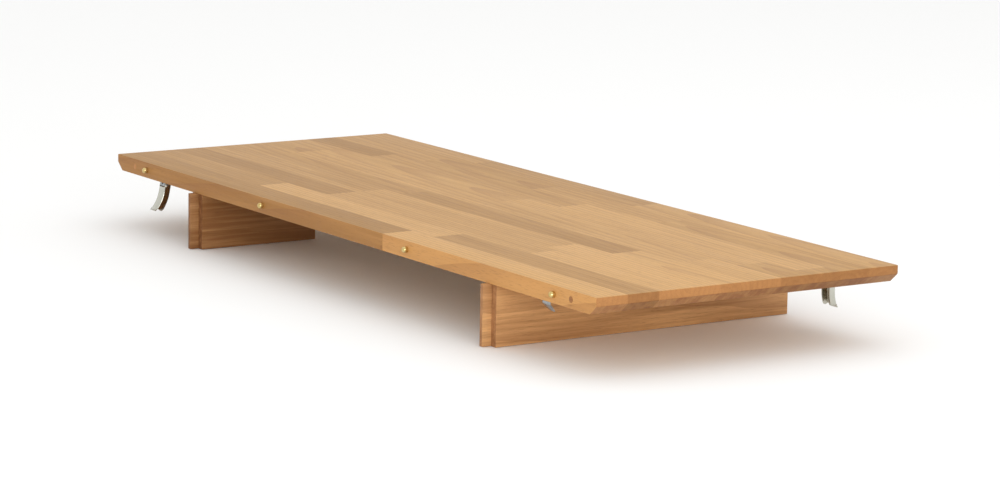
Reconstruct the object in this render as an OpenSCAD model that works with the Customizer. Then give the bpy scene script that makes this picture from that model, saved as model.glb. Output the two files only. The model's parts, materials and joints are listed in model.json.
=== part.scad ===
// Extension leaf for a dining table: a solid oak panel on two aprons, located by
// brass pins and drawn up by a lever latch and a keeper on each long edge.
// X runs along the leaf, -Y is the edge with the pins, +Z is up. The origin is
// under the middle of the whole part, on the plane that the aprons stand on.

/* [Leaf] */
// Length of the leaf, along the edges that meet the table
leaf_w = 1200; // [1080:10:1440]
// Depth of the leaf between those edges
leaf_d = 445; // [380:5:540]
// Thickness of the panel
leaf_t = 22; // [20:1:30]
// Radius on the top corner of each short end
end_arris = 1.2; // [0.6:0.2:3]
// Straight height of each short end below the top
end_flat = 9.5; // [5:0.5:10]
// Radius where a short end turns into its under-bevel
nose_r = 3; // [1:0.5:6]
// Angle of the under-bevel from the vertical
nose_angle = 50; // [40:1:60]
// Chamfer along the two long edges
long_arris = 0.8; // [0.4:0.1:2]

/* [Aprons] */
// Height of the aprons below the panel
apron_h = 77; // [65:1:100]
// Thickness of an apron
apron_t = 27; // [20:1:32]
// Distance from the middle of the leaf to the middle of an apron
apron_x = 370; // [300:1:420]
// Distance from the pin edge to the shoulder of an apron
apron_setback = 4; // [2:0.5:8]
// Distance from the pin edge to the far end of the short left apron
left_apron_end = 183; // [150:1:240]
// Thickness of the tongue on the near end of an apron
tongue_t = 6; // [4:0.5:8]
// Length of the tongue past its shoulder
tongue_l = 13; // [8:0.5:18]
// Gap on each side of a tongue in the groove that takes it
groove_gap = 0.3; // [0.2:0.1:0.6]
// Height of the apron screws' counterbores
counterbore_h = 45; // [35:1:52]
// Diameter of the apron screws' counterbores
counterbore_d = 10; // [9.5:0.5:12]

/* [Pins] */
// Diameter of the alignment pins' heads
pin_d = 8; // [6:0.5:10]
// Step from a pin's head down to its shank
pin_step = 0.6; // [0.3:0.1:1]
// Length of a pin's head, which stands out of the edge
pin_out = 7; // [5:0.5:8.5]
// Length of a pin's shank, which is set in the edge
pin_in = 25; // [15:1:35]
// Distance from the middle of the leaf to each outer pin
pin_x_outer = 512; // [480:1:514]
// Distance from the middle of the leaf to each inner pin
pin_x_inner = 183; // [100:1:280]
// Radial clearance of a pin in its socket
pin_clearance = 0.1; // [0.05:0.01:0.1]
// Wall of a socket bush
socket_wall = 1.4; // [1:0.1:2]
// Length of a socket bush
socket_l = 15; // [12:1:20]
// Distance from the middle of the leaf to each edge plug
plug_x = 548; // [535:1:565]
// Diameter of the edge plugs
plug_d = 8; // [6:0.5:10]
// Length of the edge plugs
plug_l = 12; // [8:1:20]

/* [Latches] */
// Distance from the middle of the leaf to each latch and keeper
latch_x = 492; // [470:1:494]
// Distance from the long edge to the outer face of a latch
latch_inset = 14; // [10:1:20]
// Width of a lever
lever_w = 16; // [14:0.5:20]
// Depth of a lever's channel
lever_depth = 9.5; // [8:0.5:11]
// Thickness of a lever's sheet
lever_sheet = 1.2; // [0.8:0.1:1.6]
// Radius that a lever's web bends outward on
lever_bend = 50; // [40:1:70]
// Angle that a lever's web bends through
lever_turn = 28; // [15:1:32]
// Outward angle of the pin-edge lever as it hangs
near_swing = 11; // [0:1:20]
// Outward angle of the far-edge lever as it hangs
far_swing = -8; // [-15:1:20]
// Thickness of the base and keeper sheet
plate_t = 1.2; // [0.8:0.1:1.4]
// Length of a latch's base plate
base_l = 35; // [32:1:44]
// Diameter of a latch's pivot rivet
rivet_d = 3; // [2.5:0.1:4]
// Radial clearance of a lever on its rivet
rivet_clearance = 0.05; // [0.02:0.01:0.1]

/* [Keepers] */
// Distance from the long edge to the front of a keeper
keeper_inset = 3; // [1:0.5:6]
// Width of a keeper at its front
keeper_w = 16; // [14:0.5:20]
// Width of a keeper's lip at its tip
keeper_tip_w = 9; // [6:0.5:12]
// Length of a keeper's plate
keeper_l = 36; // [34:1:44]
// Height of a keeper's front wall
keeper_front_h = 4; // [3:0.5:6]
// Length of a keeper's sloping lip
keeper_lip = 14; // [10:0.5:16]

/* [Fixings] */
// Diameter of the small screws' heads
screw_head_d = 6.4; // [5.5:0.1:7]
// Diameter of the small screws' shanks
screw_d = 3.5; // [3:0.1:4]
// Length of the small screws in the wood
screw_l = 14; // [10:1:16]
// Diameter of the apron screws' shanks
apron_screw_d = 4.5; // [4:0.1:5]
// Length of an apron screw that goes into the panel
apron_screw_bite = 14; // [10:1:16]
// Diameter of the dowels
dowel_d = 8; // [6:0.5:10]
// Length of a dowel in the apron
dowel_low = 16; // [12:1:20]
// Length of a dowel in the panel
dowel_high = 13; // [10:1:15]

/* [Hidden] */
$fn = 64;
eps = 0.01;
wood_light = "#cfa274";
wood_mid = "#b07f4f";
brass = "#d6b45e";
chrome = "#c4c7c6";
zinc = "#a9b0b3";
steel = "#8e9193";

tongue_out = tongue_l - apron_setback;
near_y = -(leaf_d - tongue_out) / 2;
far_y = near_y + leaf_d;
under_z = apron_h;
top_z = apron_h + leaf_t;
mid_z = under_z + leaf_t / 2;

// Under-bevel: where its arc ends and where it meets the underside
nose_dx = nose_r * (1 - cos(nose_angle));
nose_dz = nose_r * sin(nose_angle);
bevel_dz = leaf_t - end_flat - nose_dz;
bevel_dx = nose_dx + bevel_dz * tan(nose_angle);

pin_shank_d = pin_d - 2 * pin_step;
socket_od = pin_d + 2 * (pin_clearance + socket_wall);

// Fixings along each apron, from the pin edge
left_dowels = [30, left_apron_end - 20];
left_screws = [55, left_apron_end - 45];
right_dowels = [30, leaf_d / 2, leaf_d - 30];
right_screws = [80, leaf_d / 2 + 50, leaf_d - 80];
seat_h = 2.4;
apron_head_d = 8.8;

// Latch: places in its own frame, +Y inward and Z = 0 on the underside
pivot_y = lever_depth / 2;
pivot_z = -(pivot_y + plate_t + 0.55);
web_top = pivot_z - 4.5;
bend_z = web_top - 7;
tip_l = 3.5;
curl_r = 1.1;
cheek_corner = 4;
ear_gap = 0.4;
ear_out = lever_w / 2 - lever_sheet - ear_gap;
ear_r = 4.2;
flange_bottom = pivot_z - 2.5;
flange_y = 0.2;
flange_hole_d = 4.4;
flange_hole_z = -4.6;
rivet_head_d = 5.2;
rivet_head_h = 0.9;
rivet_head_gap = 0.3;
base_screws = [base_l - 20, base_l - 7];
keeper_screws = [keeper_l - 16, keeper_l - 6];
screw_head_h = 1.9;
screw_head_round = 0.8;
recess_l = 3.6;
recess_w = 0.8;
recess_depth = 1;

pin_x = [-pin_x_outer, -pin_x_inner, pin_x_inner, pin_x_outer];

// ---- Helpers ----

// Extrudes an outline drawn in (Y, Z) along X, centred
module along_x(width) {
    rotate([90, 0, 90])
        linear_extrude(width, center = true)
            children();
}

// A rod along +Y that starts at the origin
module rod_y(d, l) {
    rotate([-90, 0, 0])
        cylinder(d = d, h = l);
}

// Puts a piece drawn in a latch's own frame at the pin edge or the far edge
module at_near(inset, x) {
    translate([x, near_y + inset, under_z])
        children();
}

module at_far(inset, x) {
    translate([x, far_y - inset, under_z])
        rotate([0, 0, 180])
            children();
}

// ---- Panel ----

// What the under-bevel takes off the right-hand end, drawn in (X, Z)
module nose_cut() {
    difference() {
        polygon([
            [0, -end_flat], [1, -end_flat], [1, -leaf_t - 1],
            [-bevel_dx - tan(nose_angle), -leaf_t - 1],
            [-nose_dx, -end_flat - nose_dz]
        ]);
        translate([-nose_r, -end_flat])
            circle(nose_r);
    }
}

module arris_cut() {
    difference() {
        translate([-end_arris, -end_arris])
            square(end_arris + 1);
        translate([-end_arris, -end_arris])
            circle(end_arris);
    }
}

// Outline of the panel seen from its long edge
module end_outline() {
    difference() {
        translate([-leaf_w / 2, -leaf_t])
            square([leaf_w, leaf_t]);
        for (side = [0, 1])
            mirror([side, 0])
                translate([leaf_w / 2, 0]) {
                    nose_cut();
                    arris_cut();
                }
    }
}

// Outline of the panel seen from its short end
module long_outline() {
    c = long_arris;
    polygon([
        [near_y + c, 0], [far_y - c, 0], [far_y, -c], [far_y, -leaf_t + c],
        [far_y - c, -leaf_t], [near_y + c, -leaf_t], [near_y, -leaf_t + c], [near_y, -c]
    ]);
}

// One pilot hole or dowel hole in the underside
module panel_hole(x, y, d, depth) {
    translate([x, y, under_z - eps])
        cylinder(d = d, h = depth + eps);
}

module panel_blank() {
    translate([0, 0, top_z])
        intersection() {
            translate([0, near_y + leaf_d / 2, 0])
                rotate([90, 0, 0])
                    linear_extrude(leaf_d + 2, center = true)
                        end_outline();
            along_x(leaf_w + 2)
                long_outline();
        }
}

module top_panel() {
    color(wood_light)
    difference() {
        panel_blank();
        for (x = pin_x) {
            translate([x, near_y - 1, mid_z])
                rod_y(pin_shank_d, pin_in + 1);
            translate([x, far_y - socket_l, mid_z])
                rod_y(socket_od, socket_l + 1);
        }
        for (side = [-1, 1])
            translate([side * plug_x, near_y - 1, mid_z])
                rod_y(plug_d, plug_l + 1);
        for (y = left_dowels)
            panel_hole(-apron_x, near_y + y, dowel_d, dowel_high);
        for (y = right_dowels)
            panel_hole(apron_x, near_y + y, dowel_d, dowel_high);
        for (y = left_screws)
            panel_hole(-apron_x, near_y + y, apron_screw_d, apron_screw_bite);
        for (y = right_screws)
            panel_hole(apron_x, near_y + y, apron_screw_d, apron_screw_bite);
        for (y = base_screws) {
            panel_hole(-latch_x, near_y + latch_inset + y, screw_d, screw_l);
            panel_hole(latch_x, far_y - latch_inset - y, screw_d, screw_l);
        }
        for (y = keeper_screws) {
            panel_hole(latch_x, near_y + keeper_inset + y, screw_d, screw_l);
            panel_hole(-latch_x, far_y - keeper_inset - y, screw_d, screw_l);
        }
    }
}

// ---- Aprons ----

// An apron from its shoulder to its end, with a tongue and its fixing holes
module apron(end, dowels, screws, grooved) {
    difference() {
        union() {
            translate([-apron_t / 2, near_y + apron_setback, 0])
                cube([apron_t, end - apron_setback, apron_h]);
            translate([-tongue_t / 2, near_y - tongue_out, 0])
                cube([tongue_t, tongue_l + 1, apron_h]);
        }
        if (grooved)
            translate([-tongue_t / 2 - groove_gap, near_y + end - tongue_l - 1, -1])
                cube([tongue_t + 2 * groove_gap, tongue_l + 2, apron_h + 2]);
        for (y = dowels)
            translate([0, near_y + y, apron_h - dowel_low])
                cylinder(d = dowel_d, h = dowel_low + 1);
        for (y = screws)
            translate([0, near_y + y, 0]) {
                translate([0, 0, -1])
                    cylinder(d = counterbore_d, h = counterbore_h + 1);
                translate([0, 0, counterbore_h - eps])
                    cylinder(d1 = apron_head_d, d2 = apron_screw_d, h = seat_h);
                cylinder(d = apron_screw_d, h = apron_h + 1);
            }
    }
}

module left_apron() {
    color(wood_mid)
        translate([-apron_x, 0, 0])
            apron(left_apron_end, left_dowels, left_screws, false);
}

module right_apron() {
    color(wood_mid)
        translate([apron_x, 0, 0])
            apron(leaf_d, right_dowels, right_screws, true);
}

module apron_dowels(x, places) {
    color(wood_light)
        for (y = places)
            translate([x, near_y + y, apron_h - dowel_low])
                cylinder(d = dowel_d, h = dowel_low + dowel_high);
}

// A countersunk wood screw that points up from its head
module apron_screw() {
    difference() {
        union() {
            cylinder(d = apron_screw_d, h = apron_h - counterbore_h + apron_screw_bite);
            cylinder(d1 = apron_head_d, d2 = apron_screw_d, h = seat_h);
        }
        cross_recess(apron_head_d / 2);
    }
}

module apron_screws(x, places) {
    color(steel)
        for (y = places)
            translate([x, near_y + y, counterbore_h])
                apron_screw();
}

// ---- Pins, sockets and plugs ----

// Cross slot that is cut up into a screw's head from Z = 0
module cross_recess(l) {
    for (a = [0, 90])
        rotate([0, 0, a])
            translate([-l / 2, -recess_w / 2, -1])
                cube([l, recess_w, recess_depth + 1]);
}

// A brass pin set in the pin edge, its round-nosed head outward
module pin(x) {
    color(brass)
        translate([x, near_y - pin_out, mid_z])
            rotate([-90, 0, 0])
                rotate_extrude()
                    pin_outline();
}

// Half outline of a pin: a half-round nose, a head that seats on the edge, and a thinner shank
module pin_outline() {
    intersection() {
        translate([0, pin_d / 2]) {
            circle(pin_d / 2);
            square([pin_d / 2, pin_out - pin_d / 2]);
            square([pin_shank_d / 2, pin_out + pin_in - pin_d / 2]);
        }
        square([pin_d / 2, pin_out + pin_in]);
    }
}

// A brass bush set in the far edge
module socket(x) {
    color(brass)
        translate([x, far_y - socket_l, mid_z])
            difference() {
                rod_y(socket_od, socket_l);
                translate([0, -1, 0])
                    rod_y(pin_d + 2 * pin_clearance, socket_l + 2);
            }
}

module edge_plug(side) {
    color(wood_mid)
        translate([side * plug_x, near_y, mid_z])
            rod_y(plug_d, plug_l);
}

// ---- Small screws ----

// A pan-head screw in the underside, its head hanging below Z = -plate_t
module small_screw() {
    translate([0, 0, -plate_t])
        cylinder(d = screw_d, h = plate_t + screw_l);
    translate([0, 0, -plate_t - screw_head_h])
        difference() {
            rotate_extrude()
                head_outline();
            cross_recess(recess_l);
        }
}

// Half outline of a pan head, with its lower corner rounded
module head_outline() {
    difference() {
        square([screw_head_d / 2, screw_head_h]);
        difference() {
            translate([screw_head_d / 2 - screw_head_round, -eps])
                square([screw_head_round + eps, screw_head_round + eps]);
            translate([screw_head_d / 2 - screw_head_round, screw_head_round])
                circle(screw_head_round);
        }
    }
}

module small_screws(places) {
    color(steel)
        for (y = places)
            translate([0, y, 0])
                small_screw();
}

// ---- Latch ----

// A folded bracket: plate, front flange with a hole, and two ears
module latch_base() {
    color(zinc)
    difference() {
        union() {
            translate([-lever_w / 2, flange_y, -plate_t])
                cube([lever_w, base_l - flange_y, plate_t]);
            translate([-ear_out, flange_y, flange_bottom])
                cube([2 * ear_out, plate_t, -flange_bottom - plate_t / 2]);
            for (side = [0, 1])
                mirror([side, 0, 0])
                    translate([ear_out - plate_t / 2, 0, 0])
                        along_x(plate_t)
                            ear_outline();
        }
        translate([0, 0, flange_hole_z])
            rotate([-90, 0, 0])
                cylinder(d = flange_hole_d, h = flange_y + plate_t + 1);
        translate([0, pivot_y, pivot_z])
            rotate([0, 90, 0])
                cylinder(d = rivet_d, h = lever_w, center = true);
        for (y = base_screws)
            translate([0, y, -plate_t - 1])
                cylinder(d = screw_d, h = plate_t + 2);
    }
}

module ear_outline() {
    translate([pivot_y, pivot_z])
        circle(ear_r);
    translate([flange_y, pivot_z])
        square([pivot_y + ear_r - flange_y, -pivot_z - plate_t / 2]);
}

// Side outline of a band of the lever, from its outer face inward to a depth
module lever_band(from, to, top) {
    translate([from, bend_z])
        square([to - from, top - bend_z]);
    translate([-lever_bend, bend_z])
        intersection() {
            difference() {
                circle(lever_bend + to, $fn = 180);
                circle(lever_bend + from, $fn = 180);
            }
            rotate(-lever_turn)
                polygon([
                    [0, 0], [2 * lever_bend, 0],
                    [2 * lever_bend * cos(lever_turn), 2 * lever_bend * sin(lever_turn)]
                ]);
        }
}

// Side outline of a cheek, with a round head and a round lower corner
module cheek_outline() {
    difference() {
        union() {
            lever_band(0, lever_depth, pivot_z);
            translate([pivot_y, pivot_z])
                circle(pivot_y);
        }
        translate([-lever_bend, bend_z])
            rotate(-lever_turn)
                translate([lever_bend + lever_depth - cheek_corner, cheek_corner])
                    difference() {
                        translate([0, -cheek_corner - 1])
                            square(cheek_corner + 1);
                        circle(cheek_corner);
                    }
    }
}

// The web's straight end past the bend, and the curl along its edge
module lever_tip() {
    translate([-lever_bend, bend_z])
        rotate(-lever_turn) {
            translate([lever_bend, -tip_l])
                square([lever_sheet, tip_l + eps]);
            translate([lever_bend + lever_sheet - curl_r, -tip_l])
                circle(curl_r);
        }
}

// The lever as it hangs straight down from its pivot
module lever_shape() {
    difference() {
        union() {
            along_x(lever_w)
                lever_band(0, lever_sheet, web_top);
            along_x(lever_w)
                lever_tip();
            for (side = [0, 1])
                mirror([side, 0, 0])
                    translate([(lever_w - lever_sheet) / 2, 0, 0])
                        along_x(lever_sheet)
                            cheek_outline();
        }
        translate([0, pivot_y, pivot_z])
            rotate([0, 90, 0])
                cylinder(d = rivet_d + 2 * rivet_clearance, h = lever_w + 2, center = true);
    }
}

module latch_lever(swing) {
    color(chrome)
        translate([0, pivot_y, pivot_z])
            rotate([-swing, 0, 0])
                translate([0, -pivot_y, -pivot_z])
                    lever_shape();
}

module latch_rivet() {
    half = lever_w / 2 + rivet_head_gap;
    color(steel)
        translate([0, pivot_y, pivot_z])
            rotate([0, 90, 0]) {
                cylinder(d = rivet_d, h = 2 * half, center = true);
                for (side = [0, 1])
                    mirror([0, 0, side])
                        translate([0, 0, half])
                            cylinder(d = rivet_head_d, h = rivet_head_h);
            }
}

// ---- Keeper ----

// Side outline of a keeper: plate, front wall and the lip sloping inward
module keeper_outline() {
    translate([0, -plate_t])
        square([keeper_l, plate_t]);
    translate([0, -keeper_front_h])
        square([plate_t, keeper_front_h]);
    translate([plate_t / 2, -keeper_front_h]) {
        circle(plate_t / 2);
        rotate(-45)
            translate([0, -plate_t / 2])
                square([keeper_lip, plate_t]);
    }
}

// Outline of a keeper from above: a plain plate and, below it, a tapered lip
module keeper_taper() {
    reach = plate_t / 2 + keeper_lip * cos(45) + plate_t;
    polygon([
        [-keeper_w / 2, -1], [keeper_w / 2, -1], [keeper_w / 2, plate_t],
        [keeper_tip_w / 2, reach], [-keeper_tip_w / 2, reach], [-keeper_w / 2, plate_t]
    ]);
}

module keeper_plate() {
    color(zinc)
    difference() {
        intersection() {
            along_x(keeper_w)
                keeper_outline();
            union() {
                translate([0, 0, -keeper_front_h - keeper_lip])
                    linear_extrude(keeper_front_h + keeper_lip - plate_t)
                        keeper_taper();
                translate([-keeper_w / 2, -1, -plate_t])
                    cube([keeper_w, keeper_l + 2, plate_t]);
            }
        }
        for (y = keeper_screws)
            translate([0, y, -plate_t - 1])
                cylinder(d = screw_d, h = plate_t + 2);
    }
}

// ---- Assembly ----

top_panel();
left_apron();
right_apron();
apron_dowels(-apron_x, left_dowels);  // left_apron_dowels
apron_dowels(apron_x, right_dowels);  // right_apron_dowels
apron_screws(-apron_x, left_screws);  // left_apron_screws
apron_screws(apron_x, right_screws);  // right_apron_screws
pin(pin_x[0]);  // pin_1
pin(pin_x[1]);  // pin_2
pin(pin_x[2]);  // pin_3
pin(pin_x[3]);  // pin_4
socket(pin_x[0]);  // socket_1
socket(pin_x[1]);  // socket_2
socket(pin_x[2]);  // socket_3
socket(pin_x[3]);  // socket_4
edge_plug(-1);  // left_edge_plug
edge_plug(1);  // right_edge_plug
at_near(latch_inset, -latch_x) latch_base();  // near_latch_base
at_near(latch_inset, -latch_x) latch_lever(near_swing);  // near_latch_lever
at_near(latch_inset, -latch_x) latch_rivet();  // near_latch_rivet
at_near(latch_inset, -latch_x) small_screws(base_screws);  // near_latch_screws
at_far(latch_inset, latch_x) latch_base();  // far_latch_base
at_far(latch_inset, latch_x) latch_lever(far_swing);  // far_latch_lever
at_far(latch_inset, latch_x) latch_rivet();  // far_latch_rivet
at_far(latch_inset, latch_x) small_screws(base_screws);  // far_latch_screws
at_near(keeper_inset, latch_x) keeper_plate();  // near_keeper
at_near(keeper_inset, latch_x) small_screws(keeper_screws);  // near_keeper_screws
at_far(keeper_inset, -latch_x) keeper_plate();  // far_keeper
at_far(keeper_inset, -latch_x) small_screws(keeper_screws);  // far_keeper_screws
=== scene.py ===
"""An extension leaf for a dining table, in oiled solid oak with brass pins and chromed lever latches."""

import json
import math
import random

import bmesh
import bpy
from mathutils import Matrix, Vector

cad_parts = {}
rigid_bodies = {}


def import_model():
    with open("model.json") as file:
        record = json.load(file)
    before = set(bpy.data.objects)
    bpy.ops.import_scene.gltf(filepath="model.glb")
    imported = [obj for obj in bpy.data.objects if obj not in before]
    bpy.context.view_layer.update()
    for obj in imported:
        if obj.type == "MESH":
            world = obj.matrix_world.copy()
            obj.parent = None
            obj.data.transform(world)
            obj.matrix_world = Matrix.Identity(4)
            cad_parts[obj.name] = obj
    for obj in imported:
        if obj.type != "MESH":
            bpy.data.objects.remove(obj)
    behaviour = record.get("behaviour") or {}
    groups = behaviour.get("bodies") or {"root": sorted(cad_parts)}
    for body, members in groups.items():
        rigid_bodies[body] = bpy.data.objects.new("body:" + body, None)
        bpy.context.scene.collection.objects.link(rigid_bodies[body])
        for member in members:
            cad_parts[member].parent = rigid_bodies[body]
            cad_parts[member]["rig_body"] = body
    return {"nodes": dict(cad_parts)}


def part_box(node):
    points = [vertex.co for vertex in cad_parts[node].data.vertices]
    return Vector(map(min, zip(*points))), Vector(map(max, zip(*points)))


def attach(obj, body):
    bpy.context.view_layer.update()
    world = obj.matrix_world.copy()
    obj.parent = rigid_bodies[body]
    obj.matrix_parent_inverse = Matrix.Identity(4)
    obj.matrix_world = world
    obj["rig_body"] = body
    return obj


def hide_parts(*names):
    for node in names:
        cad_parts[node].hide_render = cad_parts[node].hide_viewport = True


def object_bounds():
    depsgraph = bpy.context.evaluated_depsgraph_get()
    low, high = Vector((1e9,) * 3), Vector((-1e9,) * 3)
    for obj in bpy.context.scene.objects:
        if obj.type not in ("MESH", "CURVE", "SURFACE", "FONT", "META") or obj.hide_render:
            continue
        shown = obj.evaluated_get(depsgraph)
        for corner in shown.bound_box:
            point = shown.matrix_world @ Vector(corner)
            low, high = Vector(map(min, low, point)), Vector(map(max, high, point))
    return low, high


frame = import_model()
cad_low, cad_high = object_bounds()

MM = 0.001

# The axes as places in a vector, and how close two points are welded
X, Y, Z = range(3)
WELD = 1e-6

# Sizes that the boxes of the CAD nodes don't give: first the panel's ends, edges and holes
NOSE_ANGLE = math.radians(50)
NOSE_RADIUS = 3 * MM
END_FLAT = 9.5 * MM
END_ARRIS = 1.2 * MM
LONG_ARRIS = 0.8 * MM
HOLE_GAP = 0.08 * MM
HOLE_MOUTH = 1 * MM

# The aprons
TONGUE = 6 * MM
TONGUE_REACH = 13 * MM
GROOVE = 6.6 * MM
APRON_ARRIS = 0.7 * MM
COUNTERBORE = 10 * MM
COUNTERBORE_DEPTH = 45 * MM

# Pins, sockets and plugs. The pin's nose is given as a share of its radius
PIN_COUNT = 4
PIN_HEAD = 7 * MM
PIN_NOSE = 0.985
PIN_SHANK_RADIUS = 3.4 * MM
SOCKET_WALL = 1.4 * MM
SOCKET_EASE = 0.3 * MM
PLUG_EASE = 0.15 * MM

# The pressed sheet of the latches and keepers, and the levers folded from it
SHEET = 1.2 * MM
SHEET_RIM = 0.25 * MM
LEVER_BEND = 50 * MM
LEVER_TURN = math.radians(28)
LEVER_TIP = 3.5 * MM
LEVER_STRAIGHT = 7 * MM
LEVER_FOLD = 1.3 * MM
LEVER_RIM = 0.3 * MM
LIP_LEANS = (math.radians(30), math.radians(65))
LIP_STEP = 0.8 * MM
CHEEK_CORNER = 4 * MM
WEB_BELOW_PIVOT = 4.5 * MM
# How far each lever hangs off the vertical at rest
NEAR_SWING = math.radians(11)
FAR_SWING = math.radians(-8)

# The latches' brackets and rivets
PLATE_CORNER = 2 * MM
BRACKET_RIM = 0.2 * MM
EAR_RADIUS = 4.2 * MM
EAR_GAP = 0.4 * MM
FLANGE_HOLE_RADIUS = 2.2 * MM
FLANGE_HOLE_DROP = 4.6 * MM
FLANGE_SET = 0.2 * MM
FLANGE_BELOW_PIVOT = 2.5 * MM
FLANGE_CORNER = 1.2 * MM
RIVET_RADIUS = 1.5 * MM
RIVET_HEAD = 0.9 * MM
RIVET_DOME = 0.6 * MM

# The keepers
KEEPER_FRONT = 4 * MM
KEEPER_LIP = 14 * MM
KEEPER_SLOPE = math.radians(45)
KEEPER_FOLD = 0.9 * MM
KEEPER_CORNER = 3 * MM
KEEPER_TIP_WIDTH = 9 * MM
KEEPER_TIP_CORNER = 2 * MM

# The screws and the cross recesses in their heads
SCREW_HEAD = 1.9 * MM
SCREW_DOME = 0.8 * MM
SCREW_SHANK_RADIUS = 1.75 * MM
RECESS_LENGTH = 3.6 * MM
RECESS_WIDTH = 0.8 * MM
RECESS_DEPTH = 1 * MM

# Camera: its place, its yaw, pitch and roll in degrees, and its lens and sensor in mm
CAMERA_PLACE = (4.015, -2.584, 0.9092)
CAMERA_ANGLES = (-56.832, 10.148, 1.025)
LENS_MM = 132.38
SENSOR_MM = 36

# Lamps: their places, sizes and power, and the point they face
OVERHEAD_PLACE = (0.3, 0.6, 2.6)
OVERHEAD_SIZE = (3.2, 2.2)
OVERHEAD_POWER = 9
FRONT_PLACE = (2.5, -0.9, 0.5)
FRONT_SIZE = (1.8, 0.9)
FRONT_POWER = 21
LAMP_AIM = Vector((0, 0, 0.05))
ROOM_LIGHT = 1.0
FLOOR_SIZE = 60
FLOOR_GAP = 0.5 * MM


def node_box(node):
    """The low and the high corner of a CAD node's box."""
    low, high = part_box(node)
    return Vector(low), Vector(high)


panel_low, panel_high = node_box("top_panel")
MIDDLE_Y = (panel_low.y + panel_high.y) / 2


# ---- Making meshes by hand ----

def deselect_all():
    bpy.ops.object.select_all(action="DESELECT")


def opened(name):
    """Names the new primitive, puts its place into its mesh and opens it for editing."""
    piece = bpy.context.object
    piece.name = name
    piece.data.name = name
    bpy.ops.object.transform_apply(location=True, rotation=True, scale=True)
    bpy.ops.object.mode_set(mode="EDIT")
    return piece


def start_box(name, low, high):
    """A block between two corners."""
    low, high = Vector(low), Vector(high)
    deselect_all()
    bpy.ops.mesh.primitive_cube_add(size=1, location=(low + high) / 2, scale=high - low)
    return opened(name)


def start_rod(name, start, end, radius, sides=48):
    """A cylinder between two points."""
    start, end = Vector(start), Vector(end)
    turn = (end - start).to_track_quat("Z", "Y").to_euler()
    deselect_all()
    bpy.ops.mesh.primitive_cylinder_add(
        vertices=sides, radius=radius, depth=(end - start).length,
        location=(start + end) / 2, rotation=turn)
    return opened(name)


def start_sheet(name, low, high, upright=False):
    """A flat rectangle, lying down or facing along Y: the middle of a metal sheet."""
    low, high = Vector(low), Vector(high)
    size = high - low
    deselect_all()
    bpy.ops.mesh.primitive_plane_add(
        size=1, location=(low + high) / 2, rotation=(math.pi / 2 if upright else 0, 0, 0))
    bpy.context.object.scale = (size.x, size.z if upright else size.y, 1)
    return opened(name)


def close_edit():
    bpy.ops.object.mode_set(mode="OBJECT")


def middle(item):
    """The middle of a face, an edge or a vertex."""
    if isinstance(item, bmesh.types.BMVert):
        return item.co
    return sum((v.co for v in item.verts), Vector()) / len(item.verts)


def pick(kind, wanted):
    """Selects just the items of a kind that pass a test."""
    mesh = bmesh.from_edit_mesh(bpy.context.object.data)
    bpy.ops.mesh.select_mode(type=kind)
    bpy.ops.mesh.select_all(action="DESELECT")
    items = {"VERT": mesh.verts, "EDGE": mesh.edges, "FACE": mesh.faces}[kind]
    for item in items:
        item.select = bool(wanted(item))
    mesh.select_flush_mode()
    bmesh.update_edit_mesh(bpy.context.object.data)


def close_to(a, b, within=0.02 * MM):
    return abs(a - b) < within


def runs_along(edge, axis):
    """Whether an edge lies along an axis."""
    a, b = (v.co for v in edge.verts)
    step = (b - a).normalized()
    return abs(step[axis]) > 0.999


def lies_at(edge, axis, place):
    """Whether both ends of an edge are at one place along an axis."""
    return all(close_to(v.co[axis], place) for v in edge.verts)


def is_fold(edge, least=1):
    """Whether two faces meet at an edge at more than this angle in radians."""
    return len(edge.link_faces) == 2 and edge.calc_face_angle() > least


def is_round_end(face, axis, place):
    """Whether a face is the round end of a rod, at one place along an axis."""
    return len(face.verts) > 8 and close_to(middle(face)[axis], place)


def bisect_at(point, normal, clear=False):
    """Cuts the selected faces with a plane, and may take away what lies past it."""
    bpy.ops.mesh.bisect(
        plane_co=point, plane_no=normal, use_fill=clear, clear_outer=clear, threshold=WELD)


def bisect_all(point, normal, clear=False):
    """Cuts the whole piece with a plane, and may take away what lies past it."""
    bpy.ops.mesh.select_all(action="SELECT")
    bisect_at(point, normal, clear)


def round_edges(radius, segments):
    """Rounds the selected edges."""
    bpy.ops.mesh.bevel(offset_type="OFFSET", offset=radius, segments=segments, profile=0.5)


def round_corners(radius, segments=6):
    """Rounds the selected corners of flat faces."""
    bpy.ops.mesh.bevel(offset=radius, segments=segments, profile=0.5, affect="VERTICES")


def extrude_by(step):
    bpy.ops.mesh.extrude_region_move(TRANSFORM_OT_translate={"value": step})


def apply_modifier(piece, kind, **settings):
    deselect_all()
    piece.select_set(True)
    bpy.context.view_layer.objects.active = piece
    modifier = piece.modifiers.new(kind.lower(), kind)
    for key, value in settings.items():
        setattr(modifier, key, value)
    bpy.ops.object.modifier_apply(modifier=modifier.name)


def combine(piece, tool, operation="DIFFERENCE"):
    """Cuts a tool out of a piece, or joins it on, and puts the tool away."""
    apply_modifier(piece, "BOOLEAN", operation=operation, solver="EXACT", object=tool)
    bpy.data.objects.remove(tool)


def join(pieces):
    """Makes one piece of several."""
    deselect_all()
    for piece in pieces:
        piece.select_set(True)
    bpy.context.view_layer.objects.active = pieces[0]
    bpy.ops.object.join()
    return pieces[0]


def shade(piece, angle=30):
    """Smooth shading across soft edges, crisp across sharp ones, with the faces pointing outwards."""
    deselect_all()
    piece.select_set(True)
    bpy.context.view_layer.objects.active = piece
    bpy.ops.object.mode_set(mode="EDIT")
    bpy.ops.mesh.select_all(action="SELECT")
    bpy.ops.mesh.remove_doubles(threshold=WELD)
    bpy.ops.mesh.normals_make_consistent(inside=False)
    close_edit()
    bpy.ops.object.shade_smooth_by_angle(angle=math.radians(angle))


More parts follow.
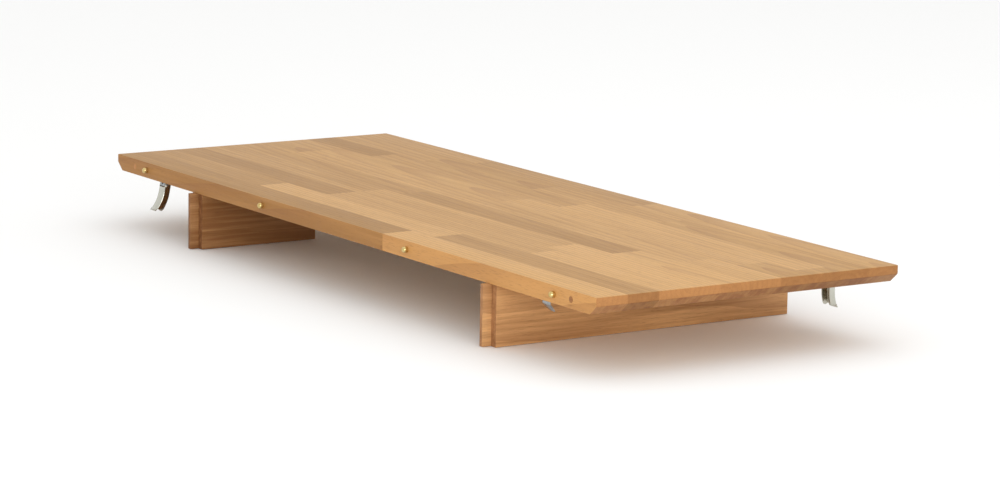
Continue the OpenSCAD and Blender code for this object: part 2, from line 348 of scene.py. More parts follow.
def placed_copy(piece, name, move):
    """A copy of a piece with its own mesh, which a matrix puts in its new place."""
    other = piece.copy()
    other.data = piece.data.copy()
    other.name = name
    other.data.name = name
    bpy.context.scene.collection.objects.link(other)
    other.data.transform(move)
    return other


def about(centre, angle, axis):
    """A turn about a line through a point."""
    middle_point = Matrix.Translation(centre)
    return middle_point @ Matrix.Rotation(angle, 4, axis) @ middle_point.inverted()


def turned_copy(piece, name):
    """The same piece on the other long edge: a half turn about the middle of the leaf."""
    return placed_copy(piece, name, about((0, MIDDLE_Y, 0), math.pi, "Z"))


def copy_to_node(piece, name, own_node, node):
    """The same piece at the place of another CAD node of the same size."""
    step = node_box(node)[0] - node_box(own_node)[0]
    return placed_copy(piece, name, Matrix.Translation(step))


# ---- Materials ----

def linear(hex_colour):
    """An sRGB hex colour as linear RGBA."""
    channels = [int(hex_colour[i:i + 2], 16) / 255 for i in (1, 3, 5)]
    curve = [c / 12.92 if c <= 0.04045 else ((c + 0.055) / 1.055) ** 2.4 for c in channels]
    return (*curve, 1.0)


def add(tree, kind, inputs=None, **settings):
    """Adds a node, sets its properties, and fills its inputs with values or with other nodes' outputs."""
    node = tree.nodes.new(kind)
    for key, value in settings.items():
        setattr(node, key, value)
    for key, value in (inputs or {}).items():
        if isinstance(value, bpy.types.NodeSocket):
            tree.links.new(value, node.inputs[key])
        else:
            node.inputs[key].default_value = value
    return node


def new_material(name):
    """A new material, with its node tree and its shader."""
    material = bpy.data.materials.new(name)
    material.use_nodes = True
    tree = material.node_tree
    return material, tree, tree.nodes["Principled BSDF"]


def per_metre(size_mm):
    """How many of a pattern's grains fit in a metre when each is this many millimetres."""
    return 1000 / size_mm


def oiled_oak(name, pale, brown, side_tint_and_shade, along, figure):
    """Plain-sawn European oak, planed, sanded and oiled: a warm satin surface.

    It gives the eye soft bands of early and late wood along the boards, finer streaks of fibre, short
    dark pores, a darker end grain, and a tone of its own for each glued stave. The stave attribute holds
    each stave's tone, its own random number and its middle across the grain.
    """
    material, tree, shader = new_material(name)
    place = add(tree, "ShaderNodeTexCoord")
    stave = add(tree, "ShaderNodeAttribute", attribute_name="stave")
    parts = add(tree, "ShaderNodeSeparateColor", {"Color": stave.outputs["Color"]})
    tone, seed, across = parts.outputs
    turn = 0 if along == "X" else -math.pi / 2
    straight = add(tree, "ShaderNodeMapping",
                   {"Vector": place.outputs["Object"], "Rotation": (0, 0, turn)})

    # Each stave is cut from its own spot
    shift = add(tree, "ShaderNodeVectorMath", {0: (31.0, 17.0, 23.0), 3: seed}, operation="SCALE")
    own = add(tree, "ShaderNodeVectorMath",
              {0: straight.outputs[0], 1: shift.outputs[0]}, operation="ADD")

    # Year rings about 7 mm apart round a pith that lies below each stave, drawn wider than life to show
    lean = add(tree, "ShaderNodeMapping",
               {"Vector": straight.outputs[0], "Rotation": (0, 0.035, 0.022)})
    sideways = add(tree, "ShaderNodeMath", {0: seed, 1: 0.16, 2: -0.08}, operation="MULTIPLY_ADD")
    from_pith = add(tree, "ShaderNodeMath", {0: sideways.outputs[0], 1: across}, operation="SUBTRACT")
    depth = add(tree, "ShaderNodeMath", {0: seed, 1: -0.05, 2: -0.03}, operation="MULTIPLY_ADD")
    pith = add(tree, "ShaderNodeCombineXYZ",
               {"X": seed, "Y": from_pith.outputs[0], "Z": depth.outputs[0]})
    log = add(tree, "ShaderNodeVectorMath", {0: lean.outputs[0], 1: pith.outputs[0]}, operation="ADD")
    stretched = add(tree, "ShaderNodeVectorMath",
                    {0: log.outputs[0], 1: (0.05, 1, 1)}, operation="MULTIPLY")
    ring_mm = 7
    rings = add(tree, "ShaderNodeTexWave",
                {"Vector": stretched.outputs[0], "Scale": 2 * math.pi * per_metre(ring_mm) / 20,
                 "Distortion": 3.5, "Detail": 3, "Detail Scale": 0.35, "Detail Roughness": 0.55},
                wave_type="RINGS", rings_direction="X", wave_profile="SAW")

    # Bands, streaks, fibres and pores, each with its width and length in mm
    patterns = {}
    for label, width, length, detail in (
            ("bands", 14, 260, 2), ("streaks", 4, 130, 3), ("fibres", 1.1, 40, 2), ("pores", 0.7, 14, 1)):
        grain = add(tree, "ShaderNodeVectorMath",
                    {0: own.outputs[0], 1: (per_metre(length), per_metre(width), per_metre(width))},
                    operation="MULTIPLY")
        patterns[label] = add(tree, "ShaderNodeTexNoise",
                              {"Vector": grain.outputs[0], "Scale": 1.0, "Detail": detail,
                               "Roughness": 0.55}).outputs[0]

    # The tone wanders a little inside a stave
    lightness = tone
    for label, share in (("bands", 0.75), ("streaks", 0.55), ("fibres", 0.35)):
        wander = add(tree, "ShaderNodeMath",
                     {0: patterns[label], 1: share * figure, 2: -0.5 * share * figure},
                     operation="MULTIPLY_ADD")
        lightness = add(tree, "ShaderNodeMath",
                        {0: lightness, 1: wander.outputs[0]}, operation="ADD").outputs[0]
    base = add(tree, "ShaderNodeValToRGB", {"Fac": lightness})
    ramp = base.color_ramp
    ramp.elements[0].position = 0.0
    ramp.elements[0].color = linear(brown)
    ramp.elements[1].position = 1.0
    ramp.elements[1].color = linear(pale)

    # The rings are plain on the face and only faint on the end grain
    facing = add(tree, "ShaderNodeSeparateXYZ", {0: place.outputs["Normal"]})
    lengthways = add(tree, "ShaderNodeMath", {0: facing.outputs[along]}, operation="ABSOLUTE")
    end = add(tree, "ShaderNodeMapRange",
              {"Value": lengthways.outputs[0], "From Min": 0.35, "From Max": 0.75,
               "To Min": 0.0, "To Max": 1.0})
    ring_depth = add(tree, "ShaderNodeMath",
                     {0: end.outputs[0], 1: -0.17 * figure, 2: 0.30 * figure}, operation="MULTIPLY_ADD")
    late = add(tree, "ShaderNodeMapRange",
               {"Value": rings.outputs["Fac"], "From Min": 0.45, "From Max": 1.0,
                "To Min": 0.0, "To Max": ring_depth.outputs[0]})
    ringed = add(tree, "ShaderNodeMix",
                 {0: late.outputs[0], 6: base.outputs[0], 7: linear("#8a5a33")},
                 data_type="RGBA")
    pore = add(tree, "ShaderNodeMapRange",
               {"Value": patterns["pores"], "From Min": 0.60, "From Max": 0.72,
                "To Min": 0.0, "To Max": 0.34})
    pored = add(tree, "ShaderNodeMix",
                {0: pore.outputs[0], 6: ringed.outputs[2], 7: linear("#6b4326")},
                data_type="RGBA")

    # Faces turned away from the top are multiplied by a deeper, warmer tint: partly the deeper colour that
    # oil gives edges and end grain, partly painted shade on the sides
    upright = add(tree, "ShaderNodeMath", {0: facing.outputs["Z"]}, operation="ABSOLUTE")
    edge = add(tree, "ShaderNodeMapRange",
               {"Value": upright.outputs[0], "From Min": 0.95, "From Max": 0.3,
                "To Min": 0.0, "To Max": 1.0})
    side_shaded = add(tree, "ShaderNodeMix",
                {0: edge.outputs[0], 6: pored.outputs[2], 7: linear(side_tint_and_shade)},
                data_type="RGBA", blend_type="MULTIPLY")
    ended = add(tree, "ShaderNodeMix",
                {0: end.outputs[0], 6: side_shaded.outputs[2], 7: linear("#dad0d0")},
                data_type="RGBA", blend_type="MULTIPLY")

    # The under-bevels at the ends face downward, and a painted shade makes them darker, purplish brown in
    # patches
    below = add(tree, "ShaderNodeMapRange",
                {"Value": facing.outputs["Z"], "From Min": -0.3, "From Max": -0.7,
                 "To Min": 0.0, "To Max": 1.0})
    bevelled = add(tree, "ShaderNodeMath", {0: below.outputs[0], 1: end.outputs[0]}, operation="MULTIPLY")
    patchy = add(tree, "ShaderNodeMapRange",
                 {"Value": patterns["bands"], "From Min": 0.40, "From Max": 0.60,
                  "To Min": 0.45, "To Max": 1.0})
    painted_underside_shade = add(tree, "ShaderNodeMath",
                 {0: bevelled.outputs[0], 1: patchy.outputs[0]}, operation="MULTIPLY")
    finished = add(tree, "ShaderNodeMix",
                   {0: painted_underside_shade.outputs[0], 6: ended.outputs[2], 7: linear("#b39288")},
                   data_type="RGBA", blend_type="MULTIPLY")
    tree.links.new(finished.outputs[2], shader.inputs["Base Color"])

    rough = add(tree, "ShaderNodeMapRange",
                {"Value": patterns["fibres"], "From Min": 0.3, "From Max": 0.7,
                 "To Min": 0.50, "To Max": 0.62})
    tree.links.new(rough.outputs[0], shader.inputs["Roughness"])
    pits = add(tree, "ShaderNodeMath",
               {0: pore.outputs[0], 1: -1.6, 2: patterns["fibres"]}, operation="MULTIPLY_ADD")
    bump = add(tree, "ShaderNodeBump",
               {"Height": pits.outputs[0], "Strength": 0.35, "Distance": 0.12 * MM})
    tree.links.new(bump.outputs[0], shader.inputs["Normal"])
    shader.inputs["IOR"].default_value = 1.48
    shader.inputs["Specular IOR Level"].default_value = 0.35
    return material


def metal(name, colour, worn, roughness, grain_mm, dent_mm=0.02):
    """A bare or plated metal: the colour of its reflections, a slight uneven sheen, and faint marks."""
    material, tree, shader = new_material(name)
    place = add(tree, "ShaderNodeTexCoord")
    scaled = add(tree, "ShaderNodeVectorMath",
                 {0: place.outputs["Object"], 1: [per_metre(grain_mm)] * 3},
                 operation="MULTIPLY")
    marks = add(tree, "ShaderNodeTexNoise",
                {"Vector": scaled.outputs[0], "Scale": 1.0, "Detail": 3, "Roughness": 0.6})
    cloud = add(tree, "ShaderNodeTexNoise",
                {"Vector": place.outputs["Object"], "Scale": per_metre(6), "Detail": 2})
    tint = add(tree, "ShaderNodeMapRange",
               {"Value": cloud.outputs[0], "From Min": 0.35, "From Max": 0.7})
    mixed = add(tree, "ShaderNodeMix",
                {0: tint.outputs[0], 6: linear(colour), 7: linear(worn)}, data_type="RGBA")
    tree.links.new(mixed.outputs[2], shader.inputs["Base Color"])
    sheen = add(tree, "ShaderNodeMapRange",
                {"Value": marks.outputs[0], "From Min": 0.3, "From Max": 0.7,
                 "To Min": roughness * 0.8, "To Max": roughness * 1.3})
    tree.links.new(sheen.outputs[0], shader.inputs["Roughness"])
    dents = add(tree, "ShaderNodeBump",
                {"Height": marks.outputs[0], "Strength": 0.2, "Distance": dent_mm * MM})
    tree.links.new(dents.outputs[0], shader.inputs["Normal"])
    shader.inputs["Metallic"].default_value = 1.0
    return material


def speckled_beech(name):
    """Steamed beech: a pale pinkish wood with short brown flecks and a dry surface."""
    material, tree, shader = new_material(name)
    place = add(tree, "ShaderNodeTexCoord")
    grain = add(tree, "ShaderNodeVectorMath",
                {0: place.outputs["Object"], 1: (per_metre(1), per_metre(1), per_metre(9))},
                operation="MULTIPLY")
    flecks = add(tree, "ShaderNodeTexNoise",
                 {"Vector": grain.outputs[0], "Scale": 1.0, "Detail": 2})
    share = add(tree, "ShaderNodeMapRange",
                {"Value": flecks.outputs[0], "From Min": 0.5, "From Max": 0.75})
    mixed = add(tree, "ShaderNodeMix",
                {0: share.outputs[0], 6: linear("#d9ae85"), 7: linear("#a9784f")}, data_type="RGBA")
    tree.links.new(mixed.outputs[2], shader.inputs["Base Color"])
    shader.inputs["Roughness"].default_value = 0.65
    return material


# The top's staves are pale, and the aprons a browner cut with a livelier figure
OAK_PANEL = oiled_oak("oiled_oak_panel", "#d1a367", "#a57b43", "#f6e6d2", "X", 1.0)
OAK_APRON = oiled_oak("oiled_oak_apron", "#d9a66f", "#8b5c31", "#ffffff", "Y", 1.5)
# Face-grain plugs cut from the same oak, a shade browner than the edge they fill
OAK_PLUG = oiled_oak("oiled_oak_plug", "#c99863", "#85582f", "#f6e6d2", "X", 1.0)
# Steamed beech of the dowels, pinkish with brown flecks
BEECH = speckled_beech("steamed_beech")
# Turned brass, handled since: a yellow shine, a little uneven, with marks under a millimetre wide
BRASS = metal("turned_brass", "#dcc78c", "#c4a765", 0.26, 0.6)
# Bright chrome over polished steel: sharp silvery reflections with hardly any grain
CHROME = metal("bright_chrome", "#c4c3b8", "#bcbbb0", 0.16, 3)
# Zinc-plated pressed steel: grey-blue, with the clouded sheen of the plating bath
ZINC = metal("zinc_plated_steel", "#a9adaf", "#8f9394", 0.30, 0.8, dent_mm=0.03)
# Plain steel of the screws and rivets, duller and darker than the plating
STEEL = metal("bright_steel", "#8d8d8a", "#77756f", 0.34, 0.5)


# ---- Finishing a piece ----

def finish(piece, node, material):
    """Gives a piece its material and says which CAD node it stands for."""
    piece.data.materials.clear()
    piece.data.materials.append(material)
    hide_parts(node)
    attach(piece, frame["nodes"][node]["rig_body"])


def paint_staves(piece, describe):
    """Stores tone, random number and middle across the grain on every face."""
    mesh = piece.data
    colours = mesh.color_attributes.new("stave", "FLOAT_COLOR", "CORNER")
    for face in mesh.polygons:
        tone, seed, across = describe(face.center)
        for corner in face.loop_indices:
            colours.data[corner].color = (tone, seed, across, 1.0)


# ---- Panel ----

# For each row of staves from the pin edge: where its butt joints are, in mm from the middle of the
# leaf, and the tone of each stave, where 0 is the brownest and 1 the palest
STAVE_ROWS = [
    ([125], [0.12, 0.95]),
    ([-270, 175], [0.25, 0.85, 0.30]),
    ([-165, 325], [0.08, 0.60, 0.90]),
    ([-165, 300], [0.42, 0.62, 1.00]),
    ([-125, 375], [0.35, 0.20, 0.82]),
    ([-500, 460], [0.40, 0.62, 0.80]),
    ([-500, -10, 510], [0.42, 0.56, 0.72, 0.50]),
    ([-420, 60, 570], [-0.05, 0.42, 0.78, 0.40]),
    ([-350, -75, 220], [0.48, 0.30, 0.52, 0.44]),
    ([-300, 100], [0.46, 0.30, 0.62]),
]
ROW = (panel_high.y - panel_low.y) / len(STAVE_ROWS)


def stave_at(point):
    """The tone, random number and middle of the stave that a point of the panel lies in."""
    row = int((point.y - panel_low.y) / ROW)
    row = min(max(row, 0), len(STAVE_ROWS) - 1)
    joints, tones = STAVE_ROWS[row]
    column = sum(point.x > joint * MM for joint in joints)
    seed = random.Random(row * 10 + column).random()
    return tones[column], seed, panel_low.y + (row + 0.5) * ROW


def make_panel():
    """A block cut to its under-bevels, rounded, sawn into staves and bored for pins, sockets and plugs."""
    panel = start_box("panel", panel_low, panel_high)
    under_bevel_height = NOSE_RADIUS * math.tan(NOSE_ANGLE / 2)
    corner_z = panel_high.z - END_FLAT - under_bevel_height
    for side in (-1, 1):
        bisect_all((side * panel_high.x, 0, corner_z),
                   (side * math.cos(NOSE_ANGLE), 0, -math.sin(NOSE_ANGLE)), clear=True)
    pick("EDGE", lambda e: runs_along(e, Y) and close_to(middle(e).z, corner_z))
    round_edges(under_bevel_height, 10)
    pick("EDGE", lambda e: runs_along(e, Y) and close_to(middle(e).z, panel_high.z))
    round_edges(END_ARRIS, 6)
    pick("EDGE", lambda e: not runs_along(e, Y) and (
        close_to(middle(e).y, panel_low.y) or close_to(middle(e).y, panel_high.y)))
    round_edges(LONG_ARRIS, 3)

    for row in range(1, len(STAVE_ROWS)):
        bisect_all((0, panel_low.y + row * ROW, 0), (0, 1, 0))
    for row, (joints, _) in enumerate(STAVE_ROWS):
        start = panel_low.y + row * ROW
        for joint in joints:
            pick("FACE", lambda f: start < middle(f).y < start + ROW)
            bisect_at((joint * MM, 0, 0), (1, 0, 0))
    close_edit()

    for node in ("left_edge_plug", "right_edge_plug", "socket_1", "socket_2", "socket_3", "socket_4"):
        low, high = node_box(node)
        centre = (low + high) / 2
        if node.startswith("socket"):
            inner, outer = low.y, high.y + HOLE_MOUTH
        else:
            inner, outer = high.y, low.y - HOLE_MOUTH
        hole = start_rod("hole", (centre.x, inner, centre.z), (centre.x, outer, centre.z),
                         (high.x - low.x) / 2 + HOLE_GAP)
        close_edit()
        combine(panel, hole)
    shade(panel, 25)
    paint_staves(panel, stave_at)
    finish(panel, "top_panel", OAK_PANEL)


# ---- Aprons ----

def make_apron(name, node, tone, seed, grooved):
    """A rail with a tongue on its near end, and a groove on its far end if the next rail carries on."""
    low, high = node_box(node)
    centre_x = (low.x + high.x) / 2
    shoulder = low.y + TONGUE_REACH
    apron = start_box(name, (low.x, shoulder, low.z), high)
    for side in (-1, 1):
        bisect_all((centre_x + side * TONGUE / 2, 0, 0), (1, 0, 0))
    pick("FACE", lambda f: close_to(middle(f).y, shoulder) and close_to(middle(f).x, centre_x))
    extrude_by((0, -TONGUE_REACH, 0))
    pick("EDGE", lambda e: not close_to(middle(e).y, shoulder, 0.1 * MM) and is_fold(e))
    round_edges(APRON_ARRIS, 2)
    close_edit()
    if grooved:
        groove = start_box("groove", (centre_x - GROOVE / 2, high.y - TONGUE_REACH - MM, low.z - MM),
                           (centre_x + GROOVE / 2, high.y + MM, high.z + MM))
        close_edit()
        combine(apron, groove)
    for place in screw_places(node + "_screws"):
        bore = start_rod("bore", (place.x, place.y, low.z - MM),
                         (place.x, place.y, low.z + COUNTERBORE_DEPTH), COUNTERBORE / 2, 32)
        close_edit()
        combine(apron, bore)
    shade(apron, 25)
    # The grain runs along Y here, so what lies across it is -X
    paint_staves(apron, lambda point: (tone, seed, -centre_x))
    finish(apron, node, OAK_APRON)


def screw_places(node):
    """The middles of the separate screws in a CAD node, in order along Y."""
    corners = sorted((v.co.y, v.co.x) for v in frame["nodes"][node].data.vertices)
    groups = []
    for y, x in corners:
        if not groups or y - groups[-1][-1][1] > 2 * MM:
            groups.append([])
        groups[-1].append((x, y))
    places = []
    for group in groups:
        xs = [x for x, _ in group]
        ys = [y for _, y in group]
        places.append(Vector(((min(xs) + max(xs)) / 2, (min(ys) + max(ys)) / 2, 0)))
    return places


# ---- Pins, sockets and plugs ----

def make_pin(node):
    """A brass pin with a half-round nose; its thinner shank is set in the panel."""
    low, high = node_box(node)
    centre = (low + high) / 2
    radius = (high.x - low.x) / 2
    seat = low.y + PIN_HEAD
    pin = start_rod("brass_" + node, (centre.x, seat, centre.z), (centre.x, low.y, centre.z), radius)
    pick("EDGE", lambda e: lies_at(e, Y, low.y))
    round_edges(radius * PIN_NOSE, 12)
    pick("FACE", lambda f: is_round_end(f, Y, seat))
    bpy.ops.mesh.inset(thickness=radius - PIN_SHANK_RADIUS)
    extrude_by((0, high.y - seat, 0))
    close_edit()
    shade(pin, 40)
    return pin


def make_socket(node):
    """A brass bush: both ends inset and bridged into a bore, with its mouth eased."""
    low, high = node_box(node)
    centre = (low + high) / 2
    radius = (high.x - low.x) / 2
    bush = start_rod("brass_" + node, (centre.x, low.y, centre.z), (centre.x, high.y, centre.z), radius)
    pick("FACE", lambda f: is_round_end(f, Y, low.y) or is_round_end(f, Y, high.y))
    bpy.ops.mesh.inset(thickness=SOCKET_WALL, use_individual=True)
    bpy.ops.mesh.bridge_edge_loops()
    pick("EDGE", lambda e: lies_at(e, Y, high.y) and is_fold(e))
    round_edges(SOCKET_EASE, 2)
    close_edit()
    shade(bush, 40)
    return bush


def make_plug(node):
    """A wooden plug, sanded flush with the edge."""
    low, high = node_box(node)
    centre = (low + high) / 2
    plug = start_rod("oak_" + node, (centre.x, high.y, centre.z), (centre.x, low.y, centre.z),
                     (high.x - low.x) / 2)
    pick("EDGE", lambda e: lies_at(e, Y, low.y))
    round_edges(PLUG_EASE, 2)
    close_edit()
    shade(plug, 40)
    return plug


def make_edge_fittings():
    """Pins, sockets and plugs: one of each kind is modelled, and the others are its copies."""
    pins = [make_pin("pin_1")]
    sockets = [make_socket("socket_1")]
    for number in range(2, PIN_COUNT + 1):
        pins.append(copy_to_node(pins[0], f"brass_pin_{number}", "pin_1", f"pin_{number}"))
        sockets.append(copy_to_node(
            sockets[0], f"brass_socket_{number}", "socket_1", f"socket_{number}"))
    for number in range(PIN_COUNT):
        finish(pins[number], f"pin_{number + 1}", BRASS)
        finish(sockets[number], f"socket_{number + 1}", BRASS)

    left = make_plug("left_edge_plug")
    right = copy_to_node(left, "oak_right_edge_plug", "left_edge_plug", "right_edge_plug")
    # The left plug is painted much paler than the right: a painted sheen on it, while the right one keeps
    # the darker colour of the wood
    for plug, node, tone, seed in (
            (left, "left_edge_plug", 0.9, 0.2), (right, "right_edge_plug", 0.45, 0.6)):
        paint_staves(plug, lambda point: (tone, seed, 0.0))
        finish(plug, node, OAK_PLUG)


# ---- Latches and keepers ----

latch_low, latch_high = node_box("near_latch_base")
rivet_low, rivet_high = node_box("near_latch_rivet")
PIVOT = (rivet_low + rivet_high) / 2
LATCH_FACE = latch_low.y - FLANGE_SET
LEVER_DEPTH = 2 * (PIVOT.y - LATCH_FACE)
LEVER_HALF = (latch_high.x - latch_low.x) / 2 - SHEET / 2


def thicken(piece, rim):
    """Gives a folded sheet its thickness and takes the burr off its edges."""
    close_edit()
    apply_modifier(piece, "SOLIDIFY", thickness=SHEET, offset=0, use_even_offset=True)
    ease_edges(piece, rim)


def ease_edges(piece, rim):
    """Takes the burr off a piece's sharp edges."""
    apply_modifier(piece, "BEVEL", width=rim, segments=2, limit_method="ANGLE",
                   angle_limit=math.radians(50), use_clamp_overlap=True)


def make_lever(name, swing):
    """A channel bent outward: a strip spun round its bend, with cheeks drawn off both sides.

    It is made as it would hang straight down at the pin edge, and then swung about its rivet.
    """
    web_y = LATCH_FACE + SHEET / 2
    cheek = LEVER_DEPTH - SHEET / 2
    web_top = PIVOT.z - WEB_BELOW_PIVOT
    bend_z = web_top - LEVER_STRAIGHT
    bend_centre = Vector((PIVOT.x, LATCH_FACE - LEVER_BEND, bend_z))
    down = Vector((0, -math.sin(LEVER_TURN), -math.cos(LEVER_TURN)))

    lever = start_sheet(name, (PIVOT.x - LEVER_HALF, web_y, bend_z),
                        (PIVOT.x + LEVER_HALF, web_y, PIVOT.z), upright=True)
    bisect_all((0, 0, web_top), (0, 0, 1))
    pick("EDGE", lambda e: close_to(middle(e).z, bend_z))
    bpy.ops.mesh.spin(steps=6, angle=LEVER_TURN, center=bend_centre, axis=(1, 0, 0))

    def on_side(edge):
        return close_to(abs(middle(edge).x - PIVOT.x), LEVER_HALF)

    pick("EDGE", lambda e: on_side(e) and middle(e).z > bend_z)
    extrude_by((0, cheek, 0))
    pick("EDGE", lambda e: on_side(e) and middle(e).z < bend_z)
    extrude_by((0, 0, 0))
    spread = (LEVER_BEND + LEVER_DEPTH) / (LEVER_BEND + SHEET / 2)
    bpy.ops.transform.resize(value=(1, spread, spread), center_override=bend_centre)
    bpy.ops.mesh.select_all(action="SELECT")
    bpy.ops.mesh.remove_doubles(threshold=WELD)

    # The web stops below the rivet, and the cheeks end in a round head over it
    pick("FACE", lambda f: close_to(middle(f).x, PIVOT.x) and middle(f).z > web_top)
    bpy.ops.mesh.delete(type="FACE")
    pick("EDGE", lambda e: close_to(middle(e).z, PIVOT.z) and on_side(e) and runs_along(e, Y))
    extrude_by((0, 0, cheek / 2))
    pick("VERT", lambda v: v.co.z > PIVOT.z + MM)
    round_corners(cheek / 2 - 0.01 * MM, 8)

    # The cheeks' inner lower corners are rounded off
    inner_corner = bend_centre + (LEVER_BEND + LEVER_DEPTH) * Vector(
        (0, math.cos(LEVER_TURN), -math.sin(LEVER_TURN)))
    pick("VERT", lambda v: (v.co - inner_corner).yz.length < 0.1 * MM)
    round_corners(CHEEK_CORNER, 5)

    # The end of the web runs on a little and flares outward as a finger lip
    web_end = bend_centre + (LEVER_BEND + SHEET / 2) * Vector(
        (0, math.cos(LEVER_TURN), -math.sin(LEVER_TURN)))
    pick("EDGE", lambda e: runs_along(e, X) and close_to(middle(e).z, web_end.z))
    extrude_by(LEVER_TIP * down)
    for lean in LIP_LEANS:
        turn = LEVER_TURN + lean
        extrude_by(LIP_STEP * Vector((0, -math.sin(turn), -math.cos(turn))))

    # The folds between web and cheeks have a small radius
    pick("EDGE", lambda e: on_side(e) and is_fold(e))
    round_edges(LEVER_FOLD, 4)
    thicken(lever, LEVER_RIM)
    lever.data.transform(about(PIVOT, -swing, "X"))
    shade(lever, 40)
    return lever


def make_latch_base():
    """A pressed bracket: a plate under the panel, a front flange with a hole, and two ears."""
    plate_z = latch_high.z - SHEET
    ear_out = LEVER_HALF - SHEET / 2 - EAR_GAP
    base = start_box("latch_base", (latch_low.x, latch_low.y, plate_z), latch_high)
    pick("EDGE", lambda e: runs_along(e, Z))
    round_edges(PLATE_CORNER, 5)
    close_edit()
    flange = start_box("flange", (PIVOT.x - ear_out, latch_low.y, PIVOT.z - FLANGE_BELOW_PIVOT),
                       (PIVOT.x + ear_out, latch_low.y + SHEET, latch_high.z - SHEET / 2))
    pick("EDGE", lambda e: runs_along(e, Y) and middle(e).z < PIVOT.z)
    round_edges(FLANGE_CORNER, 4)
    close_edit()
    combine(base, flange, "UNION")
    for side in (-1, 1):
        xs = sorted((PIVOT.x + side * (ear_out - SHEET), PIVOT.x + side * ear_out))
        ear = start_box("ear", (xs[0], latch_low.y, latch_low.z),
                        (xs[1], PIVOT.y + EAR_RADIUS, latch_high.z - SHEET / 2))
        pick("EDGE", lambda e: runs_along(e, X) and close_to(middle(e).z, latch_low.z))
        round_edges(EAR_RADIUS, 8)
        close_edit()
        combine(base, ear, "UNION")
    hole_z = latch_high.z - FLANGE_HOLE_DROP
    hole = start_rod("hole", (PIVOT.x, latch_low.y - MM, hole_z),
                     (PIVOT.x, latch_low.y + 2 * MM, hole_z), FLANGE_HOLE_RADIUS, 32)
    close_edit()
    combine(base, hole)
    ease_edges(base, BRACKET_RIM)
    shade(base, 40)
    return base


def make_rivet():
    """A steel rivet along X with a domed head at each side."""
    head_radius = (rivet_high.z - rivet_low.z) / 2
    ends = (rivet_low.x + RIVET_HEAD, rivet_high.x - RIVET_HEAD)
    rivet = start_rod("rivet", (ends[0], PIVOT.y, PIVOT.z), (ends[1], PIVOT.y, PIVOT.z),
                      RIVET_RADIUS, 32)
    wider = head_radius / RIVET_RADIUS
    for x, outward in zip(ends, (-1, 1)):
        pick("FACE", lambda f: is_round_end(f, X, x))
        extrude_by((0, 0, 0))
        bpy.ops.transform.resize(value=(1, wider, wider), center_override=(x, PIVOT.y, PIVOT.z))
        extrude_by((outward * RIVET_HEAD, 0, 0))
        rim = x + outward * RIVET_HEAD
        pick("EDGE", lambda e: lies_at(e, X, rim))
        round_edges(RIVET_DOME, 4)
    close_edit()
    shade(rivet, 40)
    return rivet


def make_keeper():
    """A folded steel catch: a plate, a short front wall, and a tapered lip sloping down and inward."""
    low, high = node_box("near_keeper")
    plate_z = high.z - SHEET / 2
    wall_y = low.y + SHEET / 2
    keeper = start_sheet("keeper", (low.x, wall_y, plate_z), (high.x, high.y, plate_z))
    pick("VERT", lambda v: close_to(v.co.y, high.y))
    round_corners(KEEPER_CORNER)
    pick("EDGE", lambda e: close_to(middle(e).y, wall_y))
    extrude_by((0, 0, high.z - KEEPER_FRONT - plate_z))
    extrude_by((0, KEEPER_LIP * math.cos(KEEPER_SLOPE), -KEEPER_LIP * math.sin(KEEPER_SLOPE)))
    taper = KEEPER_TIP_WIDTH / (high.x - low.x)
    bpy.ops.transform.resize(value=(taper, 1, 1), center_override=((low.x + high.x) / 2, 0, 0))
    lip_z = high.z - KEEPER_FRONT - KEEPER_LIP * math.sin(KEEPER_SLOPE)
    pick("VERT", lambda v: close_to(v.co.z, lip_z))
    round_corners(KEEPER_TIP_CORNER, 5)
    pick("EDGE", lambda e: is_fold(e, 0.5))
    round_edges(KEEPER_FOLD, 4)
    thicken(keeper, SHEET_RIM)
    shade(keeper, 40)
    return keeper


def make_screws(node):
    """Pan-head screws with a cross recess, their shanks up in the panel: one is made, and then copied."""
    low, high = node_box(node)
    radius = (high.x - low.x) / 2
    seat_z = low.z + SCREW_HEAD
    places = screw_places(node)
    place = places[0]
    screw = start_rod("screw", (place.x, place.y, low.z), (place.x, place.y, seat_z), radius, 32)
    pick("EDGE", lambda e: lies_at(e, Z, low.z))
    round_edges(SCREW_DOME, 5)
    pick("FACE", lambda f: is_round_end(f, Z, seat_z))
    bpy.ops.mesh.inset(thickness=radius - SCREW_SHANK_RADIUS)
    extrude_by((0, 0, high.z - seat_z))
    close_edit()
    for long_way, short_way in ((RECESS_LENGTH, RECESS_WIDTH), (RECESS_WIDTH, RECESS_LENGTH)):
        slot = start_box(
            "slot", (place.x - long_way / 2, place.y - short_way / 2, low.z - MM),
            (place.x + long_way / 2, place.y + short_way / 2, low.z + RECESS_DEPTH))
        close_edit()
        combine(screw, slot)
    copies = [placed_copy(screw, "screw", Matrix.Translation(other - place)) for other in places[1:]]
    joined = join([screw] + copies)
    shade(joined, 40)
    return joined


def make_fittings():
    """Both latches and both keepers: each is made at the pin edge and copied to the far edge."""
    for name, maker, node, slot, material in (
            ("latch_base", make_latch_base, "latch_base", "zinc_plate", ZINC),
            ("rivet", make_rivet, "latch_rivet", "screw_steel", STEEL),
            ("keeper", make_keeper, "keeper", "zinc_plate", ZINC),
            ("base_screws", lambda: make_screws("near_latch_screws"), "latch_screws", "screw_steel", STEEL),
            ("keeper_screws", lambda: make_screws("near_keeper_screws"), "keeper_screws",
             "screw_steel", STEEL)):
        near = maker()
        near.name = "pin_edge_" + name
        near.data.name = near.name
        far = turned_copy(near, "far_edge_" + name)
        finish(near, "near_" + node, material)
        finish(far, "far_" + node, material)
    near_lever = make_lever("pin_edge_lever", NEAR_SWING)
    finish(near_lever, "near_latch_lever", CHROME)
    hanging = make_lever("hanging_lever", FAR_SWING)
    far_lever = turned_copy(hanging, "far_edge_lever")
    bpy.data.objects.remove(hanging)
    finish(far_lever, "far_latch_lever", CHROME)


# ---- Camera, light and floor ----

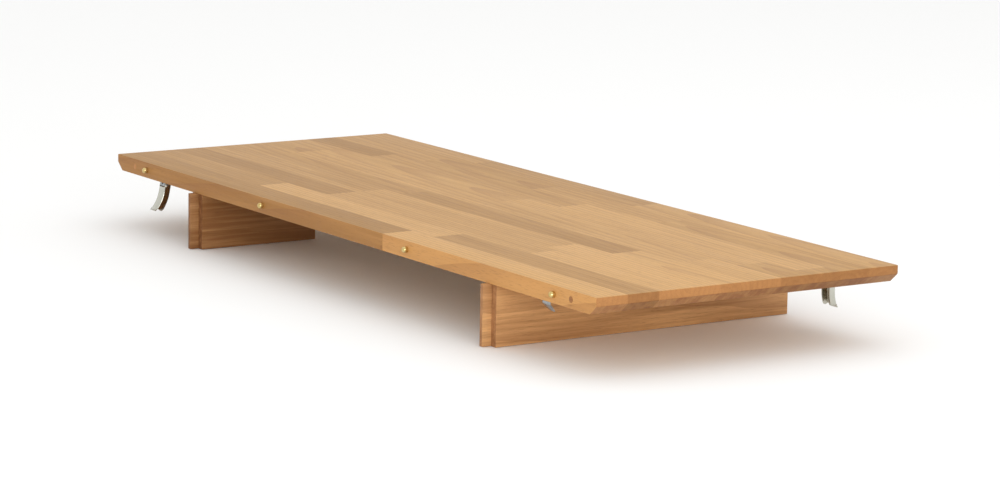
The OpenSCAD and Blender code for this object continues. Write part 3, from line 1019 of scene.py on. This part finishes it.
def make_camera():
    """A long lens from beyond the right-hand end, a little above the top."""
    yaw, pitch, roll = (math.radians(a) for a in CAMERA_ANGLES)
    forward = Vector((math.sin(yaw) * math.cos(pitch), math.cos(yaw) * math.cos(pitch), -math.sin(pitch)))
    level = Vector((math.cos(yaw), -math.sin(yaw), 0))
    right = Matrix.Rotation(-roll, 3, forward) @ level
    up = right.cross(forward)
    camera = bpy.data.objects.new("camera", bpy.data.cameras.new("camera"))
    camera.data.sensor_width = SENSOR_MM
    camera.data.lens = LENS_MM
    camera.data.clip_start = 0.1
    camera.matrix_world = Matrix.Translation(CAMERA_PLACE) @ Matrix(
        (right, up, -forward)).transposed().to_4x4()
    bpy.context.scene.collection.objects.link(camera)
    bpy.context.scene.camera = camera


def make_softbox(name, place, size, power):
    """A rectangular lamp that faces the leaf."""
    lamp = bpy.data.objects.new(name, bpy.data.lights.new(name, "AREA"))
    lamp.data.shape = "RECTANGLE"
    lamp.data.size, lamp.data.size_y = size
    lamp.data.energy = power
    lamp.location = place
    lamp.rotation_euler = (LAMP_AIM - Vector(place)).to_track_quat("-Z", "Y").to_euler()
    bpy.context.scene.collection.objects.link(lamp)


def make_studio():
    """A white floor that fades into a white room, with soft light from above and from the right."""
    deselect_all()
    bpy.ops.mesh.primitive_plane_add(size=FLOOR_SIZE, location=(0, 0, cad_low.z - FLOOR_GAP))
    floor = bpy.context.object
    floor.name = "floor"
    material, _, shader = new_material("white_paper_sweep")
    shader.inputs["Base Color"].default_value = linear("#f7f7f6")
    shader.inputs["Roughness"].default_value = 0.9
    floor.data.materials.append(material)

    world = bpy.data.worlds.new("white_room")
    bpy.context.scene.world = world
    world.use_nodes = True
    sky = world.node_tree.nodes["Background"]
    sky.inputs["Color"].default_value = (1, 1, 1, 1)
    sky.inputs["Strength"].default_value = ROOM_LIGHT
    make_softbox("overhead_softbox", OVERHEAD_PLACE, OVERHEAD_SIZE, OVERHEAD_POWER)
    make_softbox("front_softbox", FRONT_PLACE, FRONT_SIZE, FRONT_POWER)
    bpy.context.scene.view_settings.view_transform = "Standard"


make_camera()
make_studio()
make_panel()
# The left apron's tone is far browner than the right's: partly its own darker wood, partly painted shade
# for where it stands deep under the panel
make_apron("oak_left_apron", "left_apron", 0.12, 0.37, False)
make_apron("oak_right_apron", "right_apron", 0.62, 0.81, True)
make_edge_fittings()
make_fittings()

# Hidden or deep-set CAD nodes keep their shape and get their own finish
for node, material in (("left_apron_dowels", BEECH), ("right_apron_dowels", BEECH),
                       ("left_apron_screws", STEEL), ("right_apron_screws", STEEL)):
    kept = frame["nodes"][node].data.materials
    kept.clear()
    kept.append(material)
